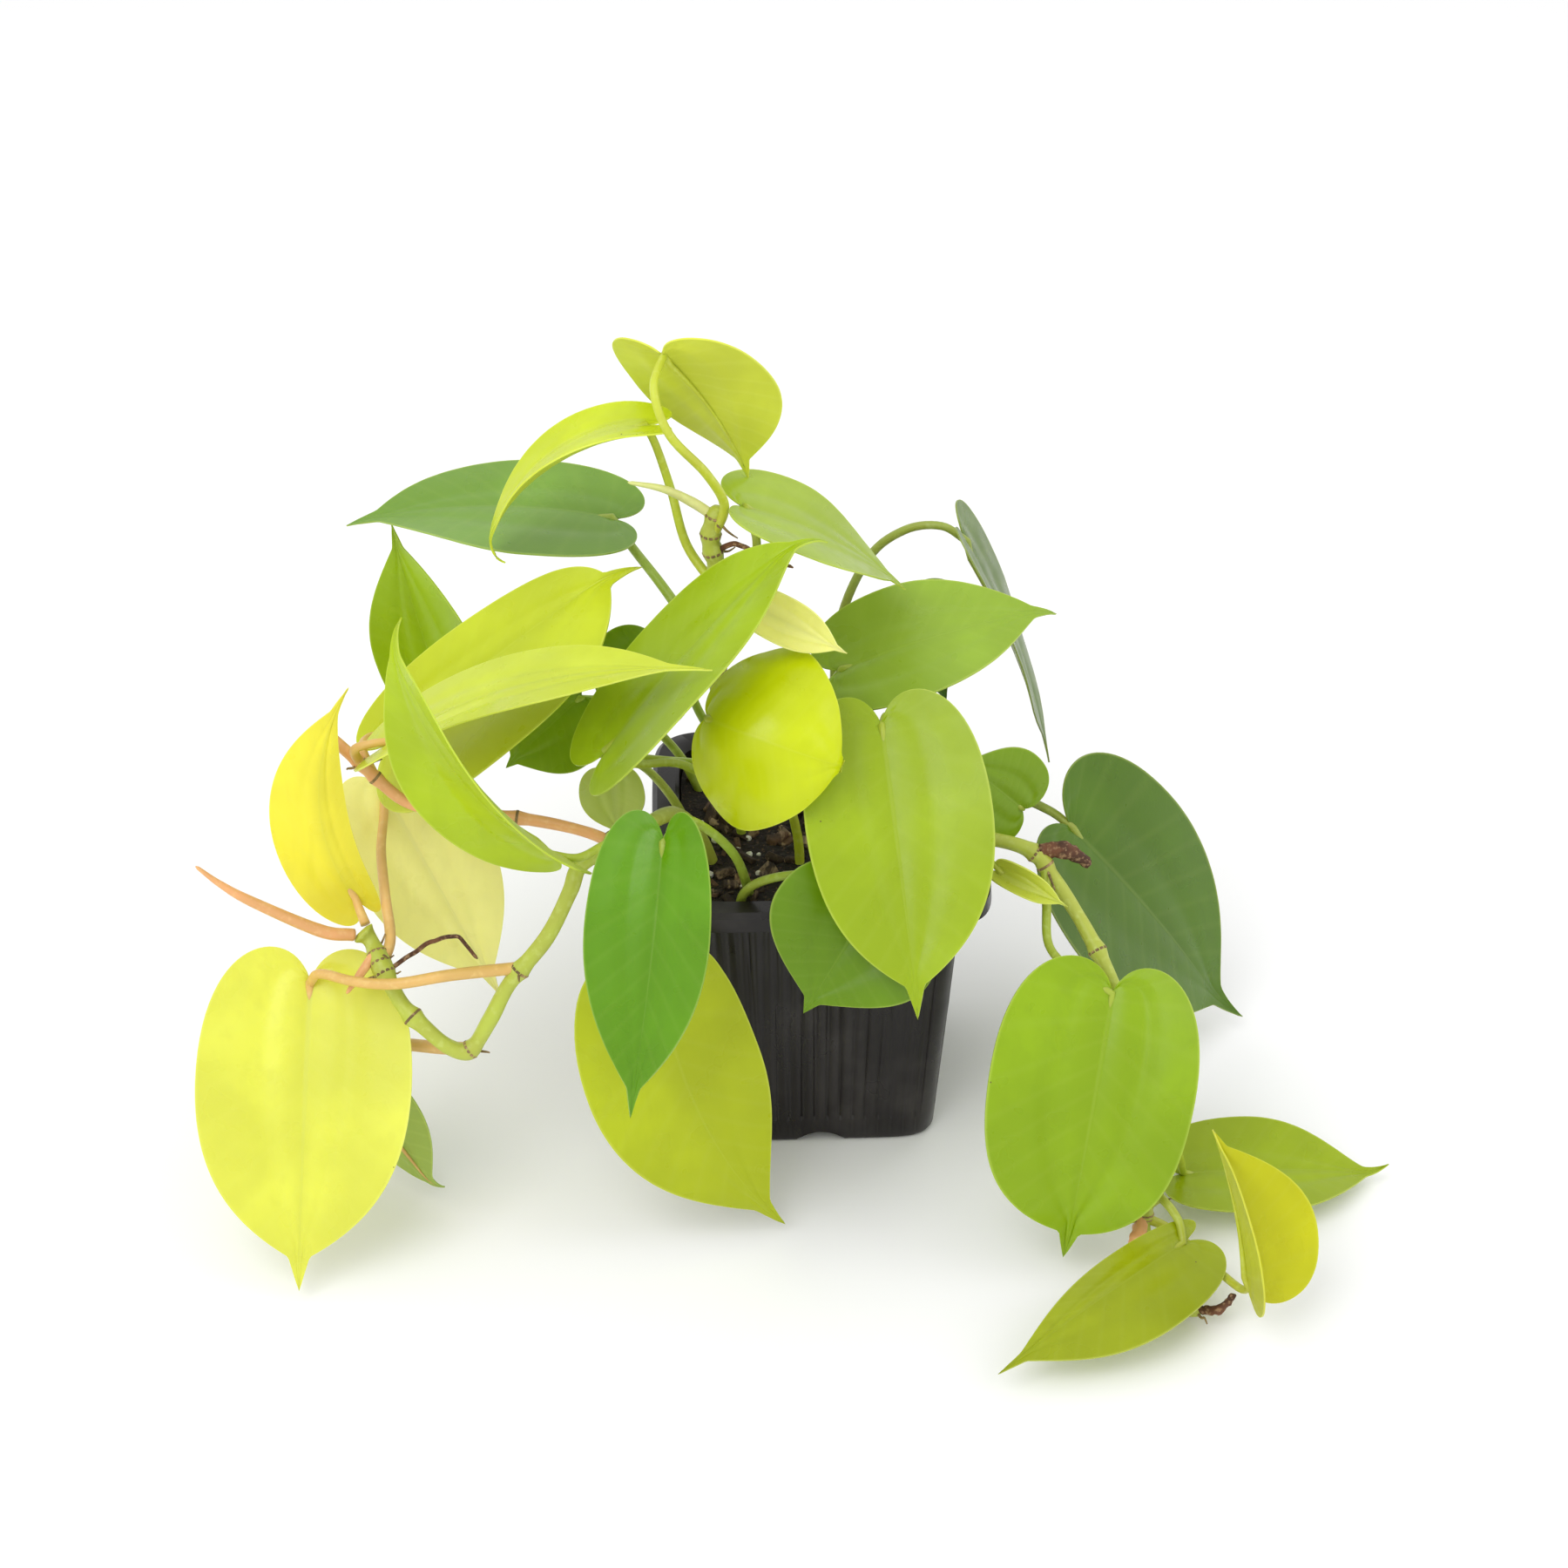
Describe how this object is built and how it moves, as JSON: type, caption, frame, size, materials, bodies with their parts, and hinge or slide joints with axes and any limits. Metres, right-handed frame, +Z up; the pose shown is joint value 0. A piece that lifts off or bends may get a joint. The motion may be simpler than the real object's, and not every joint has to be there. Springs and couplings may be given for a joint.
{
  "type": "potted philodendron",
  "caption": "Trailing heartleaf philodendron with lime-green leaves, in a small square black nursery pot.",
  "frame": {"origin": "centre of the pot's flat underside", "axes": "+Z up out of the pot, +X to the viewer's right along the spread of the vines, -Y towards the viewer"},
  "size_m": [0.3533, 0.2128, 0.2581],
  "materials": {
    "pot_plastic": "thin moulded black-brown plastic, satin, finely ribbed",
    "potting_mix": "dark bark and peat mix with white flecks",
    "leaf_lime": "glossy lime leaf, paler veins",
    "leaf_bright": "glossy bright yellow-green leaf",
    "leaf_green": "glossy mid-green leaf",
    "leaf_dark": "glossy dark green leaf",
    "leaf_blue_green": "satin grey-green leaf",
    "leaf_yellow": "soft golden young leaf",
    "leaf_pale": "pale cream-green leaf or shoot",
    "stem_green": "satin green stem with ringed nodes",
    "stem_orange": "pinkish orange young stem or sheath",
    "dry_brown": "dry brown papery sheath or root"
  },
  "bodies": {
    "root": {"pot": "pot_plastic", "soil": "potting_mix", "top_vine": "stem_green", "left_vine": "stem_green", "upper_left_vine": "stem_orange", "right_vine": "stem_green", "top_leaf": "leaf_lime", "arching_top_leaf": "leaf_bright", "dark_upper_left_leaf": "leaf_blue_green", "upper_right_leaf": "leaf_bright", "centre_long_leaf": "leaf_bright", "left_lime_leaf": "leaf_lime", "left_pointed_leaf": "leaf_lime", "left_back_leaf": "leaf_bright", "small_back_leaf": "leaf_green", "shaded_left_leaf": "leaf_green", "pale_hanging_leaf": "leaf_pale", "domed_leaf": "leaf_lime", "unfurling_leaf": "leaf_pale", "green_hanging_leaf": "leaf_green", "front_large_leaf": "leaf_bright", "olive_hanging_leaf": "leaf_bright", "front_lower_leaf": "leaf_green", "small_right_leaf": "leaf_green", "right_dark_leaf": "leaf_dark", "long_right_leaf": "leaf_bright", "tall_dark_leaf": "leaf_blue_green", "back_dark_leaf": "leaf_dark", "right_vine_large_leaf": "leaf_bright", "right_vine_outer_leaf": "leaf_bright", "right_vine_yellow_leaf": "leaf_yellow", "right_vine_tip_leaf": "leaf_bright", "left_vine_large_leaf": "leaf_lime", "left_vine_hidden_leaf": "leaf_blue_green", "left_vine_pale_leaf": "leaf_pale", "left_vine_yellow_leaf": "leaf_yellow", "left_curved_leaf": "leaf_bright", "young_right_leaf": "leaf_pale", "left_shoot": "stem_orange", "left_bud": "stem_orange", "top_shoot": "leaf_pale", "right_shoot": "dry_brown", "left_aerial_root": "dry_brown", "top_aerial_root": "dry_brown", "right_aerial_root": "dry_brown", "right_vine_sheath": "stem_orange", "right_dry_sheath": "dry_brown"}
  },
  "joints": []
}
